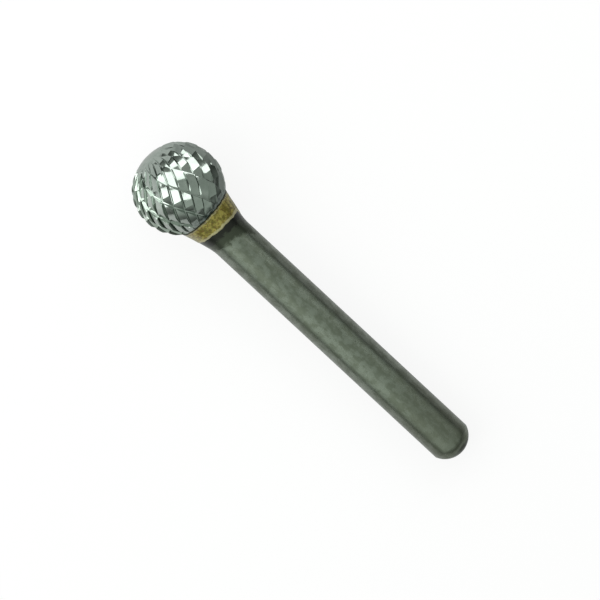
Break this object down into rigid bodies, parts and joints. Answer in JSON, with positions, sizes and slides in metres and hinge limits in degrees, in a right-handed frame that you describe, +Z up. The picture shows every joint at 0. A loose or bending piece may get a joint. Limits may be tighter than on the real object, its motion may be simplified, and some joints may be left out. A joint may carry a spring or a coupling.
{
  "type": "carbide burr",
  "caption": "Ball-shaped double-cut carbide rotary burr, brazed to a plain round steel shank with a tapered neck and a domed end.",
  "frame": {"origin": "centre of the part's box, on the surface that the burr lies on", "axes": "+X along the burr, from the ball towards the shank's free end, +Z up from the surface, +Y to complete a right-handed frame; the tool's axis slopes down towards +X by 3.7 degrees"},
  "size_m": [0.0594, 0.0126, 0.0127],
  "materials": {
    "cemented_carbide": "ground cutting teeth, bright and mirror-like",
    "brazing_alloy": "brushed olive-gold brazing alloy with brown heat stains",
    "shank_steel": "fine-ground steel with a mottled grey-green oxide, dark from heat at the neck"
  },
  "bodies": {
    "root": {"carbide_head": "cemented_carbide", "braze_joint": "brazing_alloy", "steel_shank": "shank_steel"}
  },
  "joints": []
}
